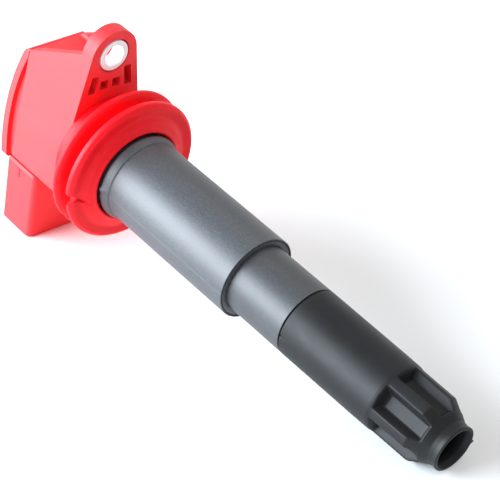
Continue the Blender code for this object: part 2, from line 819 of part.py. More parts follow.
def wire(name, route, radius, finish):
    """A round wire along a route of points, as a bevelled curve with filled caps."""
    curve = bpy.data.curves.new(name, "CURVE")
    curve.dimensions = "3D"
    curve.bevel_depth = radius
    curve.bevel_resolution = 2
    curve.use_fill_caps = True
    spline = curve.splines.new("POLY")
    spline.points.add(len(route) - 1)
    for point, place in zip(spline.points, route):
        point.co = (*place, 1.0)
    made = bpy.data.objects.new(name, curve)
    made.parent = COIL
    PARTS.objects.link(made)
    curve.materials.append(finish)
    return made


def primary_leads():
    """The two ends of the primary winding, up through the top resin to the driver board."""
    for name, side in (("primary_lead_supply", 1.0), ("primary_lead_switched", -1.0)):
        bend = LEAD_BEND_R
        route = [(0.0, side * LEAD_Y, LEAD_LOW), (0.0, side * LEAD_Y, LEAD_TOP - bend)]
        for step in range(1, 4):
            angle = step / 4.0 * math.pi / 2.0
            drop = bend * (1.0 - math.cos(angle))
            route.append((0.0, side * (LEAD_Y - drop), LEAD_TOP - bend + bend * math.sin(angle)))
        route += [(0.0, side * (LEAD_Y - bend), LEAD_TOP), (0.0, side * LEAD_END_Y, LEAD_TOP)]
        wire(name, route, LEAD_R, COPPER)


# ---------------------------------------------------------------- coil stack
def spool(name, sizes, flange_top):
    """A winding former: a thin tube with a flange near each end of the winding."""
    bore, tube, flange, low, high = sizes
    profile = [
        (tube, high),
        (tube, flange_top + SPOOL_FLANGE),
        (flange, flange_top + SPOOL_FLANGE),
        (flange, flange_top),
        (tube, flange_top),
        (tube, low + SPOOL_FLANGE),
        (flange, low + SPOOL_FLANGE),
        (flange, low),
        (bore, low),
        (bore, high),
    ]
    return turned(name, profile, SPOOL_PLASTIC, COARSE_STEPS)


def coil_stack():
    rod("magnetic_core", CORE_R, CORE_LOW, CORE_HIGH, CORE_STEEL, CORE_STEPS)
    rod("lower_core_magnet", CORE_R, CORE_LOW - GAP - MAGNET, CORE_LOW - GAP, MAGNET_GREY, CORE_STEPS)
    rod("upper_core_magnet", CORE_R, CORE_HIGH + GAP, CORE_HIGH + GAP + MAGNET, MAGNET_GREY, CORE_STEPS)
    damper_low = CORE_HIGH + 2.0 * GAP + MAGNET
    rod("core_damper", CORE_R, damper_low, damper_low + DAMPER, DAMPER_RUBBER, CORE_STEPS)
    spool("secondary_spool", INNER_SPOOL, INNER_COIL[3] + GAP)
    ring("secondary_winding", *INNER_COIL, COPPER)
    spool("primary_spool", OUTER_SPOOL, OUTER_COIL[3] + GAP)
    ring("primary_winding", *OUTER_COIL, COPPER)
    sleeve = ring("outer_core", *OUTER_CORE, CORE_STEEL)
    half = OUTER_CORE_SLIT / 2.0
    inside, outside, low, high = OUTER_CORE
    slit_low = (inside - CLEAR / 2.0, -half, low - CLEAR)
    slit_high = (outside + CLEAR / 2.0, half, high + CLEAR)
    cut(sleeve, block("outer_core_slit", slit_low, slit_high))
    radius, low, high = TOP_RESIN
    resin = rod("top_resin", radius, low, high, RESIN)
    for side in (-1.0, 1.0):
        name = "lead_hole_%s" % ("supply" if side > 0 else "switched")
        hole = rod(name, LEAD_R + GAP, low - CLEAR, high + CLEAR, None, LEAD_HOLE_STEPS)
        hole.rotation_euler = (0.0, 0.0, LEAD_HOLE_TURN)
        cut(resin, moved(hole, (0.0, side * LEAD_Y, 0.0)))


# --------------------------------------------------------------- contact end
def contact_end():
    foot = RESISTOR_TOP + GAP
    terminal = [
        (0.0, TERMINAL_TOP),
        (TERMINAL_R, TERMINAL_TOP),
        (TERMINAL_R, TERMINAL_TOP - TERMINAL_PLATE),
        (TERMINAL_STEM_R, TERMINAL_TOP - TERMINAL_PLATE),
        (TERMINAL_STEM_R, foot + TERMINAL_FOOT),
        (TERMINAL_FOOT_R, foot + TERMINAL_FOOT),
        (TERMINAL_FOOT_R, foot),
        (0.0, foot),
    ]
    turned("high_voltage_terminal", terminal, BRASS, CORE_STEPS, closed=False)
    resistor = [
        (0.0, RESISTOR_TOP),
        (RESISTOR_R, RESISTOR_TOP),
        (RESISTOR_R, RESISTOR_TOP - RESISTOR_END_CAP),
        (RESISTOR_WAIST_R, RESISTOR_TOP - RESISTOR_END_CAP),
        (RESISTOR_WAIST_R, RESISTOR_LOW + RESISTOR_END_CAP),
        (RESISTOR_R, RESISTOR_LOW + RESISTOR_END_CAP),
        (RESISTOR_R, RESISTOR_LOW),
        (0.0, RESISTOR_LOW),
    ]
    turned("suppression_resistor", resistor, CERAMIC, CORE_STEPS, closed=False)
    wire("contact_spring", spring_route(), SPRING_WIRE_R, SPRING_STEEL)
    contact = [
        (0.0, CAP_PEG_TOP),
        (CAP_PEG_R, CAP_PEG_TOP),
        (CAP_PEG_R, CAP_TOP),
        (CAP_R, CAP_TOP),
        (CAP_R, CAP_SHOULDER),
        (CAP_NOSE_R, CAP_SHOULDER),
        (CAP_NOSE_R, CAP_NOSE_END + CAP_NOSE_CHAMFER),
        (CAP_NOSE_R - CAP_NOSE_CHAMFER, CAP_NOSE_END),
        (0.0, CAP_NOSE_END),
    ]
    turned("contact_cap", contact, BRASS, CORE_STEPS, closed=False)


def spring_route():
    """A helix whose pitch closes up at both ends, as on a compression spring."""
    count = SPRING_TURNS * SPRING_POINTS_PER_TURN
    closed_turn = 1.0 / SPRING_TURNS
    wire_rise = 2.2 * SPRING_WIRE_R
    route = []
    for index in range(count + 1):
        share = index / count
        angle = 2.0 * math.pi * index / SPRING_POINTS_PER_TURN
        if share < closed_turn:
            height = wire_rise * share / closed_turn
        elif share > 1.0 - closed_turn:
            height = SPRING_TOP - SPRING_LOW - wire_rise * (1.0 - share) / closed_turn
        else:
            middle = (share - closed_turn) / (1.0 - 2.0 * closed_turn)
            height = wire_rise + middle * (SPRING_TOP - SPRING_LOW - 2.0 * wire_rise)
        route.append((SPRING_R * math.cos(angle), SPRING_R * math.sin(angle), SPRING_LOW + height))
    return route


# -------------------------------------------------- laying the coil to rest
def world_points():
    """Every corner of every part, as the modifiers leave it."""
    bpy.context.view_layer.update()
    graph = bpy.context.evaluated_depsgraph_get()
    points = []
    for part in PARTS.objects:
        if part.type == "EMPTY":
            continue
        evaluated = part.evaluated_get(graph)
        mesh = evaluated.to_mesh()
        points.extend(evaluated.matrix_world @ vertex.co for vertex in mesh.vertices)
        evaluated.to_mesh_clear()
    return points


def resting_tilt(points, balance):
    """The slope of the line under the coil's side view that spans its balance point.

    The side view has the barrel along Z and the floor on the -X side, and the
    line is the lower hull's edge on either side of the balance point.
    """
    hull = []
    for point in sorted((p.z, p.x) for p in points):
        while len(hull) > 1:
            (az, ax), (bz, bx) = hull[-2], hull[-1]
            if (bz - az) * (point[1] - ax) - (bx - ax) * (point[0] - az) > 0.0:
                break
            hull.pop()
        hull.append(point)
    for (az, ax), (bz, bx) in zip(hull, hull[1:]):
        if az <= balance <= bz:
            return math.atan2(ax - bx, bz - az)
    return 0.0


def lay_down():
    """Turns the barrel along world X, ear up, and stands the coil's box on the origin."""
    tilt = resting_tilt(world_points(), BALANCE_Z)
    lying = Matrix(((0, 0, -1, 0), (0, 1, 0, 0), (1, 0, 0, 0), (0, 0, 0, 1)))
    COIL.matrix_world = Matrix.Rotation(tilt, 4, "Y") @ lying
    points = world_points()
    low = Vector([min(p[axis] for p in points) for axis in range(3)])
    high = Vector([max(p[axis] for p in points) for axis in range(3)])
    middle = (low + high) / 2.0
    COIL.matrix_world = Matrix.Translation((-middle.x, -middle.y, -low.z)) @ COIL.matrix_world
    bpy.context.view_layer.update()


def shade_round_parts():
    for part in PARTS.objects:
        if part.type == "MESH":
            part.data.shade_smooth()
            part.data.set_sharp_from_angle(angle=math.radians(30))


head_housing()
end_cover()
mounting_bush()
flange_seal()
barrel_case()
tower_case()
plug_boot()
for pin in range(PINS):
    connector_pin(pin)
driver_electronics()
primary_leads()
coil_stack()
contact_end()
shade_round_parts()
lay_down()
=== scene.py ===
"""Looks of a plug-top ignition coil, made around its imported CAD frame.

Shapes are made in millimetres in the coil's own frame: Z runs along the barrel
towards the head, X points to the bolt ear, and Z = 0 is the barrel's lower
step. The record's bolt mount says how that frame lies in the row frame.
"""

import json
import math

import bmesh
import bpy
from mathutils import Matrix, Vector


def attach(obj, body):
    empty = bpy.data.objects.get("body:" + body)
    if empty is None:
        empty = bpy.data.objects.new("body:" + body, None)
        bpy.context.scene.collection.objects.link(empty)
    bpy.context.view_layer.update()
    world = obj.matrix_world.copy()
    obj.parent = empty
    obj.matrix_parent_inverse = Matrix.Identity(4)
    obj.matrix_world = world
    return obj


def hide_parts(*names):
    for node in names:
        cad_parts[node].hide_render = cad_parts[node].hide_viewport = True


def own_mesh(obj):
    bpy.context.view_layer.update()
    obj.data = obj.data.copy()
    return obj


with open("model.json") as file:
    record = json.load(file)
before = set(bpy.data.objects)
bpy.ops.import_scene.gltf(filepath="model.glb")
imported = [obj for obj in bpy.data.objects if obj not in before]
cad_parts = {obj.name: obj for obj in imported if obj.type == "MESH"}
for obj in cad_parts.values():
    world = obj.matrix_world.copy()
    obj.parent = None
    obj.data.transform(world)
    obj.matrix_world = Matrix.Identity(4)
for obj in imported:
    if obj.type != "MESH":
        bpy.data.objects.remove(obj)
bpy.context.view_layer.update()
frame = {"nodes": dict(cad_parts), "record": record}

MM = 0.001
BOLT_FACE_POINT = Vector((33.1, 0.0, 64.95))


def coil_transform():
    """Millimetres in the coil's frame to metres in the row frame."""
    mount = next(m for m in frame["record"]["mounts"] if m["name"] == "bolt_clamp_front")
    along = -Vector(mount["axis"]).normalized()
    across = Vector((0.0, 1.0, 0.0))
    turn = Matrix((across.cross(along), across, along)).transposed()
    shift = Vector(mount["pos_m"]) - turn @ (BOLT_FACE_POINT * MM)
    return Matrix.Translation(shift) @ turn.to_4x4() @ Matrix.Scale(MM, 4)


PLACE = coil_transform()
TURN = PLACE.to_3x3().normalized()


# ------------------------------------------------------------------ materials
class Graph:
    """A material's nodes, each made and set in one call."""

    def __init__(self, name):
        self.material = bpy.data.materials.new(name)
        self.material.use_nodes = True
        self.tree = self.material.node_tree
        self.shader = self.tree.nodes["Principled BSDF"]
        self.coords = self.tree.nodes.new("ShaderNodeTexCoord").outputs["Object"]

    def set(self, **values):
        for key, value in values.items():
            socket = self.shader.inputs[key.replace("_", " ")]
            if isinstance(value, tuple):
                socket.default_value = (*value, 1.0)
            else:
                socket.default_value = value

    def link(self, source, target):
        self.tree.links.new(source, target)

    def mapped(self, stretch=(1.0, 1.0, 1.0)):
        """The coil's own axes, in metres, each scaled by its stretch."""
        node = self.tree.nodes.new("ShaderNodeMapping")
        node.vector_type = "TEXTURE"
        node.inputs["Rotation"].default_value = TURN.to_euler()
        node.inputs["Scale"].default_value = [1.0 / s for s in stretch]
        self.link(self.coords, node.inputs["Vector"])
        return node.outputs["Vector"]

    def noise(self, scale, detail=3.0, roughness=0.5, source=None, distortion=0.0):
        node = self.tree.nodes.new("ShaderNodeTexNoise")
        node.inputs["Scale"].default_value = scale
        node.inputs["Detail"].default_value = detail
        node.inputs["Roughness"].default_value = roughness
        node.inputs["Distortion"].default_value = distortion
        self.link(source or self.coords, node.inputs["Vector"])
        return node.outputs["Fac"]

    def cells(self, scale, source=None):
        node = self.tree.nodes.new("ShaderNodeTexVoronoi")
        node.inputs["Scale"].default_value = scale
        self.link(source or self.coords, node.inputs["Vector"])
        return node.outputs["Distance"]

    def ramp(self, source, stops):
        """stops are (position, value or colour)."""
        node = self.tree.nodes.new("ShaderNodeValToRGB")
        elements = node.color_ramp.elements
        while len(elements) < len(stops):
            elements.new(0.5)
        for element, (position, value) in zip(elements, stops):
            element.position = position
            element.color = (*value, 1.0) if isinstance(value, tuple) else (value, value, value, 1.0)
        self.link(source, node.inputs["Fac"])
        return node.outputs["Color"]

    def mix(self, share, first, second, blend="MIX"):
        node = self.tree.nodes.new("ShaderNodeMix")
        node.data_type = "RGBA"
        node.blend_type = blend
        sockets = {socket.identifier: socket for socket in node.inputs}
        self.feed(sockets["Factor_Float"], share)
        self.feed(sockets["A_Color"], first)
        self.feed(sockets["B_Color"], second)
        return next(socket for socket in node.outputs if socket.identifier == "Result_Color")

    def feed(self, socket, value):
        if isinstance(value, bpy.types.NodeSocket):
            self.link(value, socket)
        elif isinstance(value, tuple):
            socket.default_value = (*value, 1.0)
        else:
            socket.default_value = value

    def math(self, operation, first, second):
        node = self.tree.nodes.new("ShaderNodeMath")
        node.operation = operation
        for socket, value in zip(node.inputs, (first, second)):
            self.feed(socket, value)
        return node.outputs["Value"]

    def bump(self, layers):
        """layers are (height, strength, distance in metres), from coarse to fine."""
        last = None
        for height, strength, distance in layers:
            node = self.tree.nodes.new("ShaderNodeBump")
            node.inputs["Strength"].default_value = strength
            node.inputs["Distance"].default_value = distance
            self.link(height, node.inputs["Height"])
            if last is not None:
                self.link(last, node.inputs["Normal"])
            last = node.outputs["Normal"]
        self.link(last, self.shader.inputs["Normal"])

    def colour(self, source):
        self.link(source, self.shader.inputs["Base Color"])

    def roughness(self, source):
        self.link(source, self.shader.inputs["Roughness"])


def moulded_red():
    """Semi-gloss red thermoplastic with flow marks, fine grain and light scuffs."""
    g = Graph("red_moulding")
    g.set(IOR=1.46)
    flow = g.noise(70.0, 4.0, 0.55, g.mapped((1.0, 1.0, 0.35)), 0.6)
    tint = g.ramp(flow, [(0.25, (0.740, 0.0190, 0.0250)), (0.75, (0.860, 0.0270, 0.0340))])
    scuff = g.noise(900.0, 5.0, 0.7, g.mapped((1.0, 0.6, 0.12)))
    marks = g.ramp(scuff, [(0.66, 0.0), (0.80, 0.30)])
    g.colour(g.mix(marks, tint, (0.84, 0.10, 0.11)))
    grain = g.noise(5200.0, 2.0, 0.5)
    wear = g.math("ADD", g.math("MULTIPLY", scuff, 0.5), g.math("MULTIPLY", grain, 0.5))
    g.roughness(g.ramp(wear, [(0.2, 0.50), (0.8, 0.63)]))
    g.bump([(g.noise(240.0, 3.0), 0.12, 0.00006), (grain, 0.16, 0.00003)])
    return g.material


def silicone_red():
    """Smooth, slightly matt red silicone with dust specks caught on it."""
    g = Graph("red_silicone_rubber")
    g.set(IOR=1.29)
    cloud = g.noise(110.0, 3.0, 0.5)
    tint = g.ramp(cloud, [(0.3, (0.860, 0.0040, 0.0110)), (0.7, (0.960, 0.0060, 0.0150))])
    dust = g.ramp(g.cells(1500.0), [(0.05, 0.55), (0.11, 0.0)])
    thin = g.math("MULTIPLY", dust, g.ramp(g.noise(260.0, 2.0), [(0.52, 0.0), (0.66, 1.0)]))
    g.colour(g.mix(thin, tint, (0.75, 0.30, 0.30)))
    g.roughness(g.ramp(cloud, [(0.3, 0.42), (0.7, 0.52)]))
    g.bump([(g.noise(420.0, 2.0), 0.10, 0.00005), (g.noise(3600.0, 3.0, 0.6), 0.20, 0.00003)])
    return g.material


def moulded_grey(name, depth):
    """Satin grey glass-filled plastic with fine speckle and faint knit lines along the flow.

    depth scales the whole colour; below 1 it is painted shade, a darker copy of this grey standing in for
    less light.
    """
    g = Graph(name)
    g.set(IOR=1.65)
    speckle = g.noise(1900.0, 5.0, 0.75)
    dark, middle, light = (0.036, 0.039, 0.046), (0.054, 0.058, 0.066), (0.094, 0.100, 0.112)
    tint = g.ramp(speckle, [(0.30, dark), (0.50, middle), (0.72, light)])
    flow = g.noise(120.0, 4.0, 0.6, g.mapped((1.0, 1.0, 0.2)), 0.8)
    # Faint knit lines along the flow, all scaled by depth, which below 1 is painted shade
    knit_lines_and_painted_shade = g.ramp(flow, [(0.3, (0.86 * depth, 0.86 * depth, 0.88 * depth)), (0.7, (depth, depth, depth))])
    g.colour(g.mix(1.0, tint, knit_lines_and_painted_shade, "MULTIPLY"))
    g.roughness(g.ramp(speckle, [(0.3, 0.41), (0.7, 0.56)]))
    g.bump([(flow, 0.16, 0.00008), (speckle, 0.42, 0.00004)])
    return g.material


def rubber_black():
    """Smooth charcoal rubber with a faint bloom and fine pits."""
    g = Graph("black_boot_rubber")
    g.set(IOR=1.37)
    bloom = g.noise(160.0, 5.0, 0.65, g.mapped((1.0, 1.0, 0.4)), 0.4)
    tint = g.ramp(bloom, [(0.30, (0.0030, 0.0032, 0.0038)), (0.75, (0.0085, 0.0089, 0.0102))])
    speck = g.ramp(g.cells(1300.0), [(0.04, 0.35), (0.09, 0.0)])
    thin = g.math("MULTIPLY", speck, g.ramp(g.noise(300.0, 2.0), [(0.5, 0.0), (0.62, 1.0)]))
    g.colour(g.mix(thin, tint, (0.16, 0.17, 0.18)))
    g.roughness(g.ramp(bloom, [(0.3, 0.47), (0.7, 0.60)]))
    g.bump([(g.noise(700.0, 3.0), 0.10, 0.00005), (g.noise(3400.0, 4.0, 0.6), 0.24, 0.00003)])
    return g.material


def metal(name, dark, light, rough, stretch=(1.0, 1.0, 1.0), scale=1500.0, strength=0.2, metallic=1.0):
    """A metal with directional fine marks: stretch is small along the marks."""
    g = Graph(name)
    g.set(Metallic=metallic)
    marks = g.noise(scale, 4.0, 0.6, g.mapped(stretch))
    patina = g.noise(220.0, 4.0, 0.6)
    g.colour(g.ramp(g.mix(0.5, marks, patina), [(0.3, dark), (0.7, light)]))
    g.roughness(g.ramp(marks, [(0.3, rough), (0.7, rough + 0.16)]))
    g.bump([(marks, strength, 0.00002)])
    return g.material


def cast(name, dark, light, rough, scale, strength=0.3, depth=0.00004):
    """A plain moulded, cast or sintered surface with its own grain size."""
    g = Graph(name)
    grain = g.noise(scale, 4.0, 0.6)
    cloud = g.noise(scale * 0.1, 3.0, 0.5)
    g.colour(g.ramp(g.mix(0.5, grain, cloud), [(0.3, dark), (0.7, light)]))
    g.roughness(g.ramp(grain, [(0.3, rough), (0.7, rough + 0.15)]))
    g.bump([(cloud, 0.2, depth), (grain, strength, depth)])
    return g.material


# What a wave texture of scale 1 takes for one band
WAVE_PERIOD = 0.314


def banded(name, dark, light, rough, pitch, depth, metallic):
    """Turns of wire or a stack of sheets: bands across the coil's axis, one each pitch."""
    g = Graph(name)
    g.set(Metallic=metallic)
    node = g.tree.nodes.new("ShaderNodeTexWave")
    node.wave_type = "BANDS"
    node.bands_direction = "Z"
    node.inputs["Scale"].default_value = WAVE_PERIOD / pitch
    node.inputs["Distortion"].default_value = 0.15
    g.link(g.mapped(), node.inputs["Vector"])
    bands = node.outputs["Fac"]
    cloud = g.noise(500.0, 3.0)
    g.colour(g.ramp(g.mix(0.35, bands, cloud), [(0.15, dark), (0.65, light)]))
    g.roughness(g.ramp(cloud, [(0.3, rough), (0.7, rough + 0.12)]))
    g.bump([(bands, 0.7, depth)])
    return g.material


RED = moulded_red()
SILICONE = silicone_red()
GREY = moulded_grey("grey_glass_filled", 1.0)
# The tower's grey is the barrel's plastic darkened to 0.66 as painted shade, standing in for the lower
# light on the tower
GREY_TOWER_PAINTED_SHADE = moulded_grey("grey_plastic_painted_shade", 0.66)
RUBBER = rubber_black()
STEEL = metal(
    "zinc_plated_bush", (0.80, 0.80, 0.81), (0.90, 0.90, 0.90), 0.40, (1.0, 1.0, 0.1), metallic=0.25
)
WIRE = metal("drawn_spring_wire", (0.50, 0.50, 0.52), (0.72, 0.72, 0.74), 0.20, scale=2600.0)
TIN = metal("tinned_blade", (0.62, 0.60, 0.55), (0.82, 0.80, 0.75), 0.20, (0.1, 1.0, 1.0))
BRASS = metal("turned_brass", (0.55, 0.37, 0.12), (0.82, 0.60, 0.26), 0.20, (1.0, 1.0, 6.0), 400.0)
ALUMINIUM = metal("rolled_aluminium", (0.58, 0.59, 0.61), (0.78, 0.79, 0.80), 0.28, (0.05, 1.0, 1.0))
COPPER = banded(
    "enamelled_copper_turns", (0.20, 0.05, 0.015), (0.62, 0.22, 0.07), 0.25, 0.00032, 0.00012, 1.0
)
LEAD = metal("enamelled_copper_wire", (0.34, 0.10, 0.03), (0.60, 0.22, 0.08), 0.22, (1.0, 1.0, 0.1))
LAMINATED = banded("laminated_steel", (0.14, 0.145, 0.155), (0.40, 0.41, 0.43), 0.35, 0.00045, 0.00006, 1.0)
MAGNET = cast("sintered_magnet", (0.035, 0.035, 0.040), (0.085, 0.085, 0.095), 0.45, 2200.0)
SPOOL = cast("glass_filled_spool", (0.50, 0.46, 0.36), (0.66, 0.62, 0.52), 0.40, 2400.0)
CERAMIC = cast("ceramic", (0.66, 0.64, 0.60), (0.80, 0.79, 0.76), 0.35, 3000.0, 0.2)
CHIP = cast("moulded_package", (0.012, 0.012, 0.014), (0.030, 0.030, 0.034), 0.42, 3500.0)
RESIN = cast("potting_resin", (0.018, 0.013, 0.010), (0.040, 0.030, 0.024), 0.12, 300.0, 0.1)
FOAM = cast("damper_foam", (0.020, 0.020, 0.021), (0.060, 0.060, 0.062), 0.70, 1600.0, 0.7, 0.00015)


# -------------------------------------------------------------- shape helpers
def piece(name, mesh, material, slot, body, *nodes):
    """Lays a mesh down in the row frame and hands it to its body in place of its CAD nodes."""
    mesh.transform(PLACE)
    mesh.materials.clear()
    mesh.materials.append(material)
    made = bpy.data.objects.new(name, mesh)
    bpy.context.scene.collection.objects.link(made)
    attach(made, body)
    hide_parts(*nodes)
    return made


# Edges sharper than this stay crisp on turned and wound pieces
CREASE = math.radians(50)
# An arc is skipped where a corner is this close to straight
NEARLY_STRAIGHT = math.radians(89.0)


def finished(name, mesh):
    """The bmesh as mesh data; the bmesh is freed."""
    made = bpy.data.meshes.new(name)
    mesh.to_mesh(made)
    mesh.free()
    return made


def smooth(mesh):
    mesh.shade_smooth()
    mesh.set_sharp_from_angle(angle=CREASE)
    return mesh


def unit(value):
    """The value held between 0 and 1."""
    return min(max(value, 0.0), 1.0)


def soft_corners(corners, closed=True, steps=4):
    """The path through (first, second, radius) corners with each corner turned into an arc."""
    points = []
    count = len(corners)
    for index, (first, second, radius) in enumerate(corners):
        here = Vector((first, second))
        ends = not closed and index in (0, count - 1)
        if ends or radius <= 0.0:
            points.append((first, second))
            continue
        before = Vector(corners[index - 1][:2]) - here
        after = Vector(corners[(index + 1) % count][:2]) - here
        half = before.angle(after) / 2.0
        if half > NEARLY_STRAIGHT:
            points.append((first, second))
            continue
        reach = min(radius / math.tan(half), 0.49 * before.length, 0.49 * after.length)
        radius = reach * math.tan(half)
        before.normalize()
        after.normalize()
        centre = here + (before + after).normalized() * radius / math.sin(half)
        start = here + before * reach - centre
        stop = here + after * reach - centre
        angle = math.atan2(start.y, start.x)
        turn = (math.atan2(stop.y, stop.x) - angle + math.pi) % (2.0 * math.pi) - math.pi
        for step in range(steps + 1):
            now = angle + turn * step / steps
            points.append((centre.x + radius * math.cos(now), centre.y + radius * math.sin(now)))
    return points


def spread(count, *dense):
    """Angles round a circle, with extra ones in each (middle, half width, count) of degrees."""
    angles = [360.0 * step / count - 180.0 for step in range(count)]
    for middle, half, extra in dense:
        angles = [a for a in angles if abs(a - middle) > half]
        angles += [middle - half + 2.0 * half * step / extra for step in range(extra + 1)]
    return [math.radians(a) for a in sorted(angles)]


def lathe(name, path, angles, shape=None, closed=True):
    """A (radius, height) path, down its outer side first, turned about Z.

    shape(radius, height, angle, index) may move its points.
    """
    mesh = bmesh.new()
    rows = []
    for index, (radius, height) in enumerate(path):
        if radius < 1e-9:
            rows.append([mesh.verts.new((0.0, 0.0, height))])
            continue
        row = []
        for angle in angles:
            r, z = shape(radius, height, angle, index) if shape else (radius, height)
            row.append(mesh.verts.new((r * math.cos(angle), r * math.sin(angle), z)))
        rows.append(row)
    pairs = list(zip(rows, rows[1:]))
    if closed:
        pairs.append((rows[-1], rows[0]))
    count = len(angles)
    for upper, lower in pairs:
        for column in range(count):
            after = (column + 1) % count
            if len(upper) == 1:
                corners = (upper[0], lower[column], lower[after])
            elif len(lower) == 1:
                corners = (upper[column], lower[0], upper[after])
            else:
                corners = (upper[column], lower[column], lower[after], upper[after])
            mesh.faces.new(corners)
    return smooth(finished(name, mesh))


# An outline's two axes and the one it is drawn out along, put in X, Y, Z order
PLANES = {
    "XY": lambda first, second, level: (first, second, level),
    "XZ": lambda first, second, level: (first, level, second),
    "YZ": lambda first, second, level: (level, first, second),
}


def prism(name, outline, low, high, plane="XY"):
    """A temporary object: a flat outline drawn in a plane, from low to high on the third axis."""
    mesh = bmesh.new()
    order = PLANES[plane]
    rings = [[mesh.verts.new(order(a, b, level)) for a, b in outline] for level in (low, high)]
    count = len(outline)
    mesh.faces.new(rings[0][::-1])
    mesh.faces.new(rings[1])
    for index in range(count):
        after = (index + 1) % count
        mesh.faces.new((rings[0][index], rings[0][after], rings[1][after], rings[1][index]))
    bmesh.ops.recalc_face_normals(mesh, faces=mesh.faces)
    return temporary(name, finished(name, mesh))


def loft(name, rings):
    """A solid through rings of points, all of one length, with its two ends closed."""
    mesh = bmesh.new()
    rows = [[mesh.verts.new(point) for point in ring] for ring in rings]
    for first, second in zip(rows, rows[1:]):
        for index in range(len(first)):
            after = (index + 1) % len(first)
            mesh.faces.new((first[index], first[after], second[after], second[index]))
    mesh.faces.new(rows[0][::-1])
    mesh.faces.new(rows[-1])
    bmesh.ops.recalc_face_normals(mesh, faces=mesh.faces)
    return finished(name, mesh)


def temporary(name, mesh):
    """An object to cut with or to work on, which settled() removes."""
    made = bpy.data.objects.new(name, mesh)
    bpy.context.scene.collection.objects.link(made)
    return made


def box(name, low, high):
    (x0, y0, z0), (x1, y1, z1) = low, high
    return prism(name, [(x0, y0), (x1, y0), (x1, y1), (x0, y1)], z0, z1)


def boolean(target, operation, *others):
    for other in others:
        step = target.modifiers.new(other.name, "BOOLEAN")
        step.operation = operation
        step.object = other
        step.solver = "EXACT"


def bevel(target, width, segments=3, limit=28.0):
    step = target.modifiers.new("bevel", "BEVEL")
    step.width = width
    step.segments = segments
    step.limit_method = "ANGLE"
    step.angle_limit = math.radians(limit)
    step.use_clamp_overlap = True
    step.miter_outer = "MITER_ARC"


def settled(target):
    """The target's mesh as its modifiers leave it; the target and its cutters are removed."""
    target.data.shade_smooth()
    weighted = target.modifiers.new("weighted", "WEIGHTED_NORMAL")
    weighted.keep_sharp = True
    cutters = [m.object for m in target.modifiers if m.type == "BOOLEAN"]
    bpy.context.view_layer.update()
    graph = bpy.context.evaluated_depsgraph_get()
    solved = target.evaluated_get(graph)
    mesh = bpy.data.meshes.new_from_object(solved, preserve_all_data_layers=True, depsgraph=graph)
    for old in cutters + [target]:
        bpy.data.objects.remove(old, do_unlink=True)
    return mesh


def combined(target):
    """A temporary object holding the target's mesh as its modifiers leave it."""
    name = target.name
    mesh = settled(target)
    return temporary(name, mesh)


# ------------------------------------------------------------------ the barrel
BARREL_TOP = 62.9
BARREL_R = 12.0
BARREL_BORE_R = 10.7
COLLAR_LOW = 46.0
# Degrees round the coil's axis, from the bolt ear
SEAM = -93.0
COLLAR_TAB = -87.0

TOWER_END = -19.35
STUB_R = 7.9
STUB_END = -31.0
TOWER_CUP_R = 8.4
TOWER_TOP = 2.7


def gauss(value, middle, width):
    """A bump of height 1 at the middle."""
    return math.exp(-(((value - middle) / width) ** 2))


def barrel():
    """The big tube: a stepped collar, a thin groove in its lower end ring and a raised mould seam."""
    path = soft_corners([
        (BARREL_R, BARREL_TOP, 0.2), (BARREL_R, 48.75, 0.15), (12.9, 48.6, 0.22), (12.88, 47.9, 0.4),
        (12.40, 46.15, 0.1), (BARREL_R, 45.85, 0.08), (11.97, 0.0, 0.3), (11.62, 0.0, 0.06),
        (11.56, 0.5, 0.05), (11.34, 0.5, 0.05), (11.28, 0.05, 0.06), (9.95, 0.1, 0.1), (9.95, 1.2, 0.1),
        (BARREL_BORE_R, 1.2, 0.1), (BARREL_BORE_R, BARREL_TOP, 0.2),
    ])

    def shape(radius, height, angle, index):
        degrees = math.degrees(angle)
        if radius > 11.0 and height < COLLAR_LOW:
            radius += 0.07 * gauss(degrees, SEAM, 0.5) - 0.03 * gauss(degrees, SEAM - 2.5, 2.0)
        if radius > 12.6 and height > 47.0:
            radius += 0.6 * gauss(degrees, COLLAR_TAB, 3.2)
        return radius, height

    angles = spread(160, (-92.0, 9.0, 60))
    piece("barrel", lathe("barrel", path, angles, shape), GREY, "grey_plastic", "coil", "barrel_case")


def tower():
    """The small tube, with the flange that the barrel holds and the stub that the boot is pushed onto."""
    path = soft_corners([
        (10.4, TOWER_TOP, 0.1), (10.4, 1.5, 0.1), (9.92, 1.5, 0.1), (9.9, TOWER_END, 0.14),
        (STUB_R, TOWER_END, 0.1), (STUB_R, STUB_END, 0.6), (3.1, STUB_END, 0.3), (3.1, -14.2, 0.2),
        (TOWER_CUP_R, -14.2, 0.4), (TOWER_CUP_R, TOWER_TOP, 0.2),
    ])

    def shape(radius, height, angle, index):
        if radius > 9.8 and height < 1.0:
            radius += 0.04 * gauss(math.degrees(angle), SEAM, 0.5)
        return radius, height

    angles = spread(144, (SEAM, 4.0, 30))
    # The tower takes the barrel's grey with painted shade
    piece("tower", lathe("tower", path, angles, shape), GREY_TOWER_PAINTED_SHADE, "grey_plastic", "coil", "tower_case")


# -------------------------------------------------------------------- the boot
BOOT_TOP = -19.85
BOOT_END = -70.98
BOOT_NICK = -87.5
MOUTH_NUB = 97.0
PLUG_BORE_R = 4.75
FLUTE_PHASE = -57.0
FLUTE_STEP = 60.0
FLUTE_FLOOR = 6.6
FLUTE_HALF = 1.7
FLUTE_FLARE = 0.76
RIB_TOP = -51.6
FLUTE_END = -65.3
# A radius outside everything, where a flute has no wall
BEYOND = 60.0


def smooth_min(first, second, size):
    """The smaller value, rounded over where the two are closer than size."""
    blend = max(size - abs(first - second), 0.0) / size
    return min(first, second) - blend * blend * size * 0.25


def smooth_max(first, second, size):
    return -smooth_min(-first, -second, size)


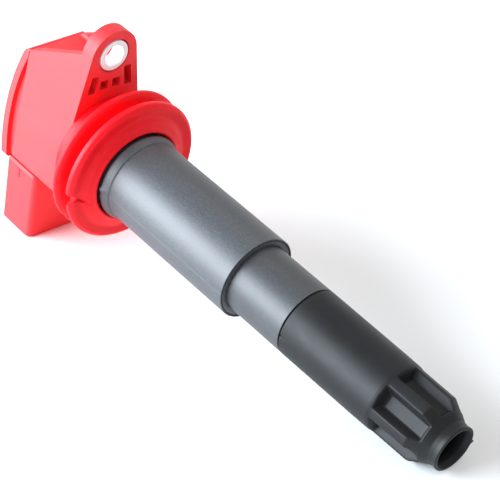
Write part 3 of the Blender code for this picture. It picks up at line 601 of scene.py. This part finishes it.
def fluted(radius, height, angle):
    """The boot's radius where the nearest flute may cut into it."""
    half_step = FLUTE_STEP / 2.0
    offset = (math.degrees(angle) - FLUTE_PHASE + half_step) % FLUTE_STEP - half_step
    lean = abs(math.radians(offset))
    floor = FLUTE_FLOOR / math.cos(lean)
    steep = FLUTE_FLARE * math.cos(lean) - math.sin(lean)
    wall = (FLUTE_FLARE * FLUTE_FLOOR - FLUTE_HALF) / steep if steep > 0.05 else BEYOND
    step = 9.5 + (height - RIB_TOP) / 0.42
    stop = FLUTE_FLOOR + (FLUTE_END - height) * 1.7
    inside = smooth_max(smooth_max(floor, wall, 0.35), smooth_max(step, stop, 0.6), 1.1)
    return smooth_min(radius, inside, 0.4)


def boot_path():
    """The boot's outer side, with points close enough for the flutes, and its bore."""
    outer = soft_corners([
        (9.93, BOOT_TOP, 0.16), (9.925, -20.45, 0.0), (9.80, -46.0, 3.0), (9.72, -50.6, 1.5),
        (9.52, -51.7, 0.8), (9.42, -63.1, 1.1), (6.42, -68.3, 1.2), (6.25, -69.6, 1.0),
        (6.42, BOOT_END, 0.35), (5.75, BOOT_END, 0.25),
    ], closed=False, steps=5)
    dense = []
    for (r0, z0), (r1, z1) in zip(outer, outer[1:]):
        fine = 0.25 if z1 < -50.0 else 2.5
        parts = max(1, math.ceil(math.hypot(r1 - r0, z1 - z0) / fine))
        dense += [(r0 + (r1 - r0) * s / parts, z0 + (z1 - z0) * s / parts) for s in range(parts)]
    dense.append(outer[-1])
    inner = soft_corners([
        (5.55, -70.9, 0.1), (4.95, -69.4, 0.6), (PLUG_BORE_R, -68.2, 0.6), (PLUG_BORE_R, -60.4, 0.2),
        (4.45, -60.0, 0.15), (4.45, -59.0, 0.15), (PLUG_BORE_R, -58.6, 0.2), (PLUG_BORE_R, -48.5, 0.3),
        (2.7, -48.5, 0.2), (2.7, -47.3, 0.2), (3.9, -47.3, 0.2), (3.9, -31.3, 0.2), (8.2, -31.3, 0.3),
        (8.2, BOOT_TOP, 0.1),
    ], closed=False)
    return dense, inner


def boot():
    """Six flutes at the plug end, a nick in the top edge and a nub on the mouth."""
    outer, inner = boot_path()

    def shape(radius, height, angle, index):
        if index >= len(outer):
            return radius, height
        if height < -48.0:
            radius = fluted(radius, height, angle)
        degrees = math.degrees(angle)
        if height > -20.4:
            radius -= 0.7 * gauss(degrees, BOOT_NICK, 1.5)
        if height < -70.2 and radius > 5.8:
            radius += 0.8 * gauss(degrees, MOUTH_NUB, 3.4)
        return radius, height

    angles = spread(300, (BOOT_NICK, 4.0, 16), (MOUTH_NUB, 6.0, 16))
    mesh = lathe("boot", outer + inner, angles, shape)
    piece("boot", mesh, RUBBER, "black_rubber", "coil", "plug_boot")


# -------------------------------------------------------------------- the seal
SEAL_TOP = 65.04
REAR_LIP_R = 21.26
FRONT_LIP_R = 21.1
REAR_NICK = -130.0
# The notch in the front lip: its apex, its middle there, how far it leans, and its two half widths
NOTCH_APEX = 18.9
NOTCH_ANGLE = -94.5
NOTCH_LEAN = 2.0
NOTCH_WIDE = 3.6
NOTCH_NARROW = 3.2
# The tongue behind the notch, a sunk channel that opens out inwards
TONGUE_IN_R = 15.4
TONGUE_OUT_R = 19.4
TONGUE_DEPTH = 0.55


def seal_path():
    return soft_corners([
        (15.5, SEAL_TOP, 0.1), (15.5, 62.0, 1.6), (17.0, 60.1, 1.6), (19.8, 59.2, 2.0),
        (REAR_LIP_R, 58.6, 0.8), (REAR_LIP_R, 57.2, 0.9), (20.2, 56.6, 2.6), (17.6, 55.9, 1.6),
        (16.7, 55.2, 0.6), (16.7, 54.5, 0.5), (17.6, 54.0, 1.2), (20.0, 53.7, 1.4),
        (FRONT_LIP_R, 53.1, 0.8), (21.12, 51.7, 1.0), (20.2, 50.75, 1.8), (17.4, 51.1, 2.2),
        (15.7, 50.0, 1.5), (14.6, 49.6, 1.2), (13.5, 49.0, 0.5), (12.98, 49.9, 0.5), (12.98, 54.0, 0.2),
        (12.3, 54.0, 0.1), (12.3, 54.3, 0.1), (14.9, 54.3, 0.2), (14.9, SEAL_TOP, 0.1),
    ], steps=5)


def seal():
    """Two sealing lips: the front one has a notch with a tongue inside it, the rear one a nick."""

    def shape(radius, height, angle, index):
        degrees = math.degrees(angle)
        if height < 53.9 and radius > NOTCH_APEX:
            share = (radius - NOTCH_APEX) / (FRONT_LIP_R - NOTCH_APEX)
            off = degrees - NOTCH_ANGLE + NOTCH_LEAN * share
            behind = unit((height - 51.2) / 2.5)
            away = off / NOTCH_WIDE if off > 0.0 else max(-off - 8.0 * behind, 0.0) / NOTCH_NARROW
            radius = smooth_min(radius, NOTCH_APEX + away * (FRONT_LIP_R - NOTCH_APEX), 0.25)
        if height < 52.0 and TONGUE_IN_R < radius < TONGUE_OUT_R:
            share = (TONGUE_OUT_R - radius) / 4.0
            lower, upper = -96.0 - 14.0 * share ** 1.3, -91.5
            sunk = (upper - degrees) / (upper - lower)
            if sunk > 1.0:
                sunk = max(1.0 - (lower - degrees) / 1.2, 0.0)
            height += TONGUE_DEPTH * max(sunk, 0.0) * min(1.0, 3.0 * share, 4.0 * (1.0 - share))
        if 57.0 < height < 59.9 and radius > 20.0:
            radius -= 0.55 * gauss(degrees, REAR_NICK, 2.6)
        return radius, height

    angles = spread(200, (-100.0, 14.0, 110), (REAR_NICK, 8.0, 24))
    mesh = lathe("seal", seal_path(), angles, shape)
    piece("seal", mesh, SILICONE, "red_silicone", "coil", "flange_seal")


# -------------------------------------------------------------------- the head
SEAT = 65.1
EAR_BACK = 69.3
EAR_X = 29.0
EAR_R = 7.5
FLARE = math.radians(10.7)
BOTTOM = -10.9
RIDGE = 20.6
CREST = 19.9
CREST_RISE = 0.5
CUP_FLOOR = 71.5
CUP_WALL = 2.0
# Where each gusset meets the back of the ear, and how thick it is
NEAR_FOOT = 29.1
FAR_FOOT = 32.4
NEAR_GUSSET = 2.7
FAR_GUSSET = 1.8
RIM = ((-10.9, 84.3), (-5.0, 85.1), (-1.3, 85.65), (5.6, 86.6), (12.0, 87.45), (17.8, 88.3))
RIM_START = 83.55
RIM_ROUND = 0.8
PINS = 4
PIN_PITCH = 5.0
# Planes past the head on each side, for cutters and blanks
SIDE = 40.0
BLANK_TOP = 95.0
ABOVE = 100.0
BELOW_BOTTOM = BOTTOM - 5.0


def side_y(x, inset=0.0):
    """Half the head's width at x: its flat sides flare away from the ear."""
    return (EAR_R - inset) / math.cos(FLARE) + (EAR_X - x) * math.tan(FLARE)


def arc(centre, radius, start, stop, steps):
    angles = [start + (stop - start) * step / steps for step in range(steps + 1)]
    return [(centre[0] + radius * math.cos(a), centre[1] + radius * math.sin(a)) for a in angles]


def ear_outline():
    tangent = math.pi / 2.0 - FLARE
    outline = soft_corners([
        (RIDGE, -side_y(RIDGE), 0.0), (BOTTOM, -side_y(BOTTOM), 0.5),
        (BOTTOM, side_y(BOTTOM), 0.5), (RIDGE, side_y(RIDGE), 0.0),
    ], closed=False)
    return outline + arc((EAR_X, 0.0), EAR_R, tangent, -tangent, 40)


def wedge_outline(bottom, top, inset, radius):
    """The head's outline between two levels of X, drawn in by inset."""
    low, high = bottom + inset, top - inset
    return soft_corners([
        (low, -side_y(low, inset), radius), (low, side_y(low, inset), radius),
        (high, side_y(high, inset), radius), (high, -side_y(high, inset), radius),
    ])


def head():
    """The flange with its ear, cup, spigot and connector shroud, all one moulding."""
    base = head_blank()
    roll_rim(base)
    cup = wedge_outline(BOTTOM, RIDGE, CUP_WALL, 1.2)
    boolean(base, "DIFFERENCE", prism("cup", cup, CUP_FLOOR, ABOVE))
    boolean(base, "UNION", shroud_body(), latch_nose(), side_nub(), spigot())
    barrel_bore = lathe_object("barrel_bore", [(12.3, 63.2), (12.3, 50.0)], 96)
    bush_bore = lathe_object("bush_bore", [(5.0, 72.0), (5.0, 62.0)], 72, (EAR_X, 0.0, 0.0))
    lead_window = box("lead_window", (-4.0, -10.0, 61.9), (4.0, 10.0, 72.5))
    boolean(base, "DIFFERENCE", barrel_bore, bush_bore, lead_window, socket())
    boolean(base, "DIFFERENCE", *pockets())
    for number, y in pin_places():
        slot = box("slot_%d" % number, (-22.5, y - 1.3, 80.75), (-6.65, y + 1.3, 82.15))
        boolean(base, "DIFFERENCE", slot)
    piece("head", raise_crest(settled(base)), RED, "red_plastic", "coil", "head_housing")


def head_blank():
    """The solid head with its ear, its gussets and its curved rim."""
    base = prism("head", ear_outline(), SEAT, BLANK_TOP)
    near = prism("near_view", side_faces(NEAR_FOOT), -SIDE, 0.0, "XZ")
    boolean(near, "UNION", prism("far_view", side_faces(FAR_FOOT), 0.0, SIDE, "XZ"))
    boolean(base, "INTERSECT", combined(near))
    boolean(base, "DIFFERENCE", recess())
    bevel(base, 0.4, 4)
    base = combined(base)
    over = [(SIDE, RIM[-1][1]), (SIDE, ABOVE), (BELOW_BOTTOM, ABOVE), (BELOW_BOTTOM, RIM_START)]
    boolean(base, "DIFFERENCE", prism("above", list(RIM) + over, -SIDE, SIDE, "XZ"))
    return combined(base)


def pin_places():
    """Each blade's number and its place across the connector."""
    return [(index + 1, (index - (PINS - 1) / 2.0) * PIN_PITCH) for index in range(PINS)]


def recess():
    """The hollow behind the ear, between a thick gusset and a thin one.

    Its floor falls a little towards the cover.
    """
    far = SIDE
    near_wall, far_wall = NEAR_GUSSET / math.cos(FLARE), FAR_GUSSET / math.cos(FLARE)
    rings = []
    for z, low in ((EAR_BACK, RIDGE), (ABOVE, CREST - 0.42)):
        rings.append([(x, y, z) for x, y in soft_corners([
            (low, -side_y(low) + near_wall, 0.3), (low, side_y(low) - far_wall, 1.1),
            (far, side_y(far) - far_wall, 0.0), (far, -side_y(far) + near_wall, 0.0),
        ], steps=5)])
    return temporary("recess", loft("recess", rings))


def side_faces(x_ear):
    """Half of the head's side view: the gusset runs from the crest to x_ear behind the ear."""
    front = SEAT - 5.0
    return [
        (BELOW_BOTTOM, front), (SIDE, front), (SIDE, EAR_BACK), (x_ear, EAR_BACK),
        (CREST, 88.2), (CREST, BLANK_TOP), (BELOW_BOTTOM, BLANK_TOP),
    ]


def raise_crest(mesh):
    """The crest and the cover's corner stand a little higher on their far side."""
    for vertex in mesh.vertices:
        x, y, z = vertex.co
        share = unit((y + 9.4) / 18.8) * unit((x - 15.0) / 3.0) * unit((z - 78.0) / 8.0)
        vertex.co.x += CREST_RISE * share
    return mesh


def roll_rim(target):
    """Rounds the long edges where the sides meet the rim."""
    mesh = bmesh.new()
    mesh.from_mesh(target.data)

    def on_rim(vertex):
        x, y, z = vertex.co
        return z > 84.0 and x < CREST and abs(abs(y) - side_y(x)) < 0.02

    def to_round(edge):
        return all(on_rim(vertex) for vertex in edge.verts) and edge.calc_face_angle(0.0) > 0.8

    edges = [edge for edge in mesh.edges if to_round(edge)]
    bmesh.ops.bevel(
        mesh, geom=edges, offset=RIM_ROUND, segments=5, profile=0.5, affect="EDGES", clamp_overlap=True
    )
    mesh.to_mesh(target.data)
    mesh.free()


def lathe_object(name, path, count, place=(0.0, 0.0, 0.0)):
    """A temporary turned solid: the path with a pole added at each end."""
    ends = [(0.0, path[0][1])] + path + [(0.0, path[-1][1])]
    mesh = lathe(name, ends, spread(count), closed=False)
    mesh.transform(Matrix.Translation(place))
    return temporary(name, mesh)


def spigot():
    """The round stub that holds the barrel and carries the seal."""
    return lathe_object("spigot", [(12.6, 67.1), (12.6, 64.8), (14.6, 64.8), (14.6, 54.5)], 96)


def shroud_body():
    """The shroud: a ledge and a chamfer under the head, straight sides and a soft rim."""
    # Each is a level of X and how far the outline is drawn in there
    stations = [
        (-9.4, 1.5), (-13.9, 1.5), (-13.95, 0.6), (-14.65, 0.0), (-34.7, 0.0), (-34.9, 0.1), (-35.0, 0.3),
    ]
    rings = []
    for x, inset in stations:
        y, low, high = 13.2 - 0.6 * inset, 75.1 + inset, 88.25 + 0.024 * x - 0.2 * inset
        corners = soft_corners([(-y, low, 1.6), (y, low, 1.6), (y, high, 0.4), (-y, high, 0.4)], steps=6)
        rings.append([(x, a, b) for a, b in corners])
    return temporary("shroud", loft("shroud", rings))


def latch_nose():
    """The catch that the harness plug's latch snaps over."""
    profile = [(-32.0, 86.9), (-27.5, 86.9), (-27.5, 88.6), (-28.8, 88.6)]
    nose = prism("nose", profile, -3.0, 3.0, "XZ")
    bevel(nose, 0.2, 2)
    return combined(nose)


def side_nub():
    """A small moulding nub on the shroud's side."""
    nub = box("nub", (-17.9, -13.4, 82.2), (-15.3, -12.9, 83.6))
    bevel(nub, 0.12, 2)
    return combined(nub)


def socket():
    corners = [(-11.5, 77.2, 1.0), (11.5, 77.2, 1.0), (11.5, 85.7, 1.0), (-11.5, 85.7, 1.0)]
    return prism("socket", soft_corners(corners), -37.0, -20.5, "YZ")


def pockets():
    """Four blind pockets in the ear's front, a wide and a narrow one on each side."""
    made = []
    for side in (-1.0, 1.0):
        lean = 5.8 * math.tan(FLARE)
        top = 24.0 + 0.5 * side
        inner = [(18.9, 0.7), (21.6, 0.7), (21.6, 3.3), (18.9, 3.3)]
        outer = [(18.4, 4.0 + lean), (top, 4.0), (top + 0.2, 6.4), (18.4, 6.4 + lean)]
        for label, outline in (("inner", inner), ("outer", outer)):
            points = soft_corners([(x, side * y, 0.35) for x, y in outline], steps=3)
            made.append(prism("pocket_%s_%d" % (label, side), points[:: int(side)], SEAT - 2.0, SEAT + 3.4))
    return made


# -------------------------------------------------------------------- the cover
ARCH_CENTRE = (6.0, 43.9)
ARCH_OUTER_R = 48.3
ARCH_LAND_R = 47.3
ARCH_INNER_R = 46.05
COVER_BOTTOM = -12.55
COVER_LOW = 80.0
COVER_PAST_END = -15.0
COVER_PLAN_CORNER = 0.8
COVER_TURN_X = 17.2
COVER_TURN_R = 2.7
LAND_BOTTOM = -13.2


def arch(radius, first, last, steps):
    """The cover's arch, from one level of X to another."""
    start, stop = (math.acos((x - ARCH_CENTRE[0]) / radius) for x in (first, last))
    return arc(ARCH_CENTRE, radius, start, stop, steps)


def cover():
    """The arched cover on the back of the cup, on a neck and a plug that fits inside it."""
    plan = prism("cover", wedge_outline(COVER_BOTTOM, CREST, 0.0, COVER_PLAN_CORNER), COVER_LOW, ABOVE)
    outer = arch(ARCH_OUTER_R, COVER_PAST_END, COVER_TURN_X, 40)
    turn = arc((COVER_TURN_X, 88.18), COVER_TURN_R, math.pi / 2.0, 0.0, 12)
    view = outer + turn[1:] + [(CREST, COVER_LOW), (COVER_PAST_END, COVER_LOW)]
    boolean(plan, "INTERSECT", prism("cover_view", view[::-1], -SIDE, SIDE, "XZ"))
    bevel(plan, 0.4, 3)
    plan = combined(plan)
    under = arch(ARCH_INNER_R, COVER_PAST_END, 17.8, 36)
    below = under + [(17.8, 88.55), (SIDE, 88.55), (SIDE, 79.0), (COVER_PAST_END, 79.0)]
    boolean(plan, "DIFFERENCE", prism("below", below[::-1], -SIDE, SIDE, "XZ"))
    boolean(plan, "UNION", cover_land("neck", 1.3, 0.1), cover_land("plug", 2.3, -0.8))
    piece("cover", raise_crest(settled(plan)), RED, "red_plastic", "coil", "end_cover")


def cover_land(name, inset, lift):
    """A land under the arch, drawn in from the head's sides by inset and lifted off its rim."""
    plan = wedge_outline(BOTTOM - 1.3 - inset, RIDGE, inset, COVER_PLAN_CORNER)
    land = prism(name, plan, COVER_LOW, ABOVE)
    last = CREST - 1.2
    rim = [(x, z + lift) for x, z in RIM]
    rim[0] = (LAND_BOTTOM, rim[0][1] - 0.3)
    rim[-1] = (last, rim[-1][1])
    view = rim + arch(ARCH_LAND_R, last, LAND_BOTTOM, 24)
    boolean(land, "INTERSECT", prism(name + "_view", view, -SIDE, SIDE, "XZ"))
    return combined(land)


BUSH_BORE_R = 3.13
BUSH_FRONT = 64.95
BUSH_BACK = 69.45


def bush():
    """The steel bush in the ear, standing a little proud of it."""
    path = soft_corners([
        (4.7, BUSH_BACK, 0.3), (4.55, BUSH_FRONT, 0.35),
        (BUSH_BORE_R, BUSH_FRONT, 0.12), (BUSH_BORE_R, BUSH_BACK, 0.05),
    ], steps=5)
    mesh = lathe("bush", path, spread(128))
    mesh.transform(Matrix.Translation((EAR_X, 0.0, 0.0)))
    piece("bush", mesh, STEEL, "plated_steel", "coil", "mounting_bush")


# ------------------------------------------------------------- small inner pieces
PIN_LOW, PIN_HIGH = 81.05, 81.85
PIN_TIP, PIN_SHOULDER = -27.5, -26.5
PIN_HALF_WIDTH = 1.0


def pins():
    """Blades with a tapered tip, each turned down to the driver board at its other end."""
    outline = [
        (PIN_TIP, PIN_LOW + 0.24), (PIN_SHOULDER, PIN_LOW), (-6.2, PIN_LOW), (-6.2, 74.6),
        (-5.4, 74.6), (-5.4, PIN_HIGH), (PIN_SHOULDER, PIN_HIGH), (PIN_TIP, PIN_HIGH - 0.24),
    ]
    for number, y in pin_places():
        name = "blade_%d" % number
        blade = prism(name, outline, y - PIN_HALF_WIDTH, y + PIN_HALF_WIDTH, "XZ")
        bevel(blade, 0.12, 2, 20.0)
        piece(name, settled(blade), TIN, "tinned_brass", "coil", "connector_pin_%d" % number)


def spring():
    """The contact spring: closed, ground end turns and even ones between them."""
    top, bottom, radius, wire = -29.7, -45.6, 2.1, 0.35
    turns, around, sides = 9, 28, 10
    rise = 2.1 * wire
    edge = 1.0 / turns
    path = []
    for index in range(turns * around + 1):
        share = index / (turns * around)
        if share < edge:
            height = rise * share / edge
        elif share > 1.0 - edge:
            height = top - bottom - rise * (1.0 - share) / edge
        else:
            height = rise + (share - edge) / (1.0 - 2.0 * edge) * (top - bottom - 2.0 * rise)
        angle = 2.0 * math.pi * index / around
        path.append(Vector((radius * math.cos(angle), radius * math.sin(angle), bottom + height)))
    angles = [2.0 * math.pi * side / sides for side in range(sides)]
    rings = []
    for index, point in enumerate(path):
        ahead = path[min(index + 1, len(path) - 1)] - path[max(index - 1, 0)]
        out = Vector((point.x, point.y, 0.0)).normalized()
        up = ahead.cross(out).normalized()
        rings.append([point + wire * (out * math.cos(a) + up * math.sin(a)) for a in angles])
    coil = piece("spring", smooth(loft("spring", rings)), WIRE, "spring_steel", "contact", "contact_spring")
    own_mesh(coil)


def contact():
    """The sprung contact: a pin inside the spring, a flange behind the boot's lip and a rounded nose."""
    path = soft_corners([
        (0.0, -44.0, 0.0), (1.4, -44.0, 0.3), (1.4, -46.2, 0.1), (3.3, -46.2, 0.15), (3.3, -47.0, 0.15),
        (2.4, -47.0, 0.15), (2.4, -51.0, 0.5), (1.6, -51.8, 0.5), (0.0, -51.8, 0.0),
    ], closed=False)
    mesh = lathe("contact", path, spread(64), closed=False)
    piece("contact", mesh, BRASS, "brass", "contact", "contact_cap")


INNER_LOOKS = {
    "heat_spreader": ALUMINIUM,
    "driver_board": CERAMIC,
    "power_transistor": CHIP,
    "control_chip": CHIP,
    "head_resin": RESIN,
    "top_resin": RESIN,
    "primary_lead_supply": LEAD,
    "primary_lead_switched": LEAD,
    "magnetic_core": LAMINATED,
    "lower_core_magnet": MAGNET,
    "upper_core_magnet": MAGNET,
    "core_damper": FOAM,
    "secondary_spool": SPOOL,
    "secondary_winding": COPPER,
    "primary_spool": SPOOL,
    "primary_winding": COPPER,
    "outer_core": LAMINATED,
    "high_voltage_terminal": BRASS,
    "suppression_resistor": CERAMIC,
}


def inner_looks():
    """The sealed inner pieces keep their CAD shape and take a better material."""
    for node, material in INNER_LOOKS.items():
        for slot in frame["nodes"][node].material_slots:
            slot.material = material


# ------------------------------------------------------------ floor, light, camera
FLOOR_HALF = 6.0
FLOOR_DROP = 0.00002


def floor():
    """A plain pale floor, a hair below the coil's lowest points."""
    mesh = bmesh.new()
    bmesh.ops.create_grid(mesh, x_segments=1, y_segments=1, size=FLOOR_HALF)
    made = finished("floor", mesh)
    g = Graph("pale_floor")
    cloud = g.noise(3.0, 2.0)
    g.colour(g.ramp(cloud, [(0.3, (0.915, 0.912, 0.906)), (0.7, (0.930, 0.928, 0.923))]))
    g.set(Roughness=0.75)
    made.materials.append(g.material)
    plane = bpy.data.objects.new("floor", made)
    bpy.context.scene.collection.objects.link(plane)
    plane.location = (0.0, 0.0, -FLOOR_DROP)


LIGHT_TARGET = Vector((0.0, 0.0, 0.03))


def area_light(name, direction, distance, size, power, colour):
    """A soft rectangle, at a distance in a direction from the coil's middle, facing it."""
    light = bpy.data.lights.new(name, "AREA")
    light.shape = "RECTANGLE"
    light.size, light.size_y = size
    light.energy = power
    light.color = colour
    made = bpy.data.objects.new(name, light)
    bpy.context.scene.collection.objects.link(made)
    aim = Vector(direction).normalized()
    made.location = LIGHT_TARGET + aim * distance
    made.rotation_euler = aim.to_track_quat("Z", "Y").to_euler()


def studio():
    """A big cool window on the camera's left, with a weak fill from above and from behind."""
    world = bpy.data.worlds.new("studio")
    world.use_nodes = True
    background = world.node_tree.nodes["Background"]
    background.inputs["Color"].default_value = (0.97, 0.985, 1.0, 1.0)
    background.inputs["Strength"].default_value = 0.54
    bpy.context.scene.world = world
    area_light("window", (-0.55, -0.80, 0.28), 1.5, (1.75, 1.15), 104.0, (0.82, 0.92, 1.0))
    area_light("overhead", (0.15, 0.45, 1.0), 1.5, (1.6, 1.6), 7.0, (1.0, 0.99, 0.97))
    area_light("backdrop", (-0.50, 0.84, 0.22), 1.3, (1.8, 0.8), 4.0, (1.0, 1.0, 1.0))
    bpy.context.scene.view_settings.view_transform = "Standard"


# The camera's place and axes in the coil's frame
CAMERA_PLACE = Vector((275.947, -264.932, -224.602))
CAMERA_RIGHT = Vector((0.1737, 0.7388, -0.6511))
CAMERA_AHEAD = Vector((-0.6101, 0.5997, 0.5178))
CAMERA_LENS = 125.42


def camera():
    lens = bpy.data.cameras.new("camera")
    lens.sensor_width = 36.0
    lens.lens = CAMERA_LENS
    lens.clip_start = 0.01
    lens.clip_end = 50.0
    ahead = (TURN @ CAMERA_AHEAD).normalized()
    up = (TURN @ CAMERA_RIGHT).cross(ahead).normalized()
    right = ahead.cross(up)
    made = bpy.data.objects.new("camera", lens)
    bpy.context.scene.collection.objects.link(made)
    place = Matrix((right, up, -ahead)).transposed().to_4x4()
    place.translation = PLACE @ CAMERA_PLACE
    made.matrix_world = place
    bpy.context.scene.camera = made


barrel()
tower()
boot()
seal()
head()
cover()
bush()
pins()
spring()
contact()
inner_looks()
floor()
studio()
camera()
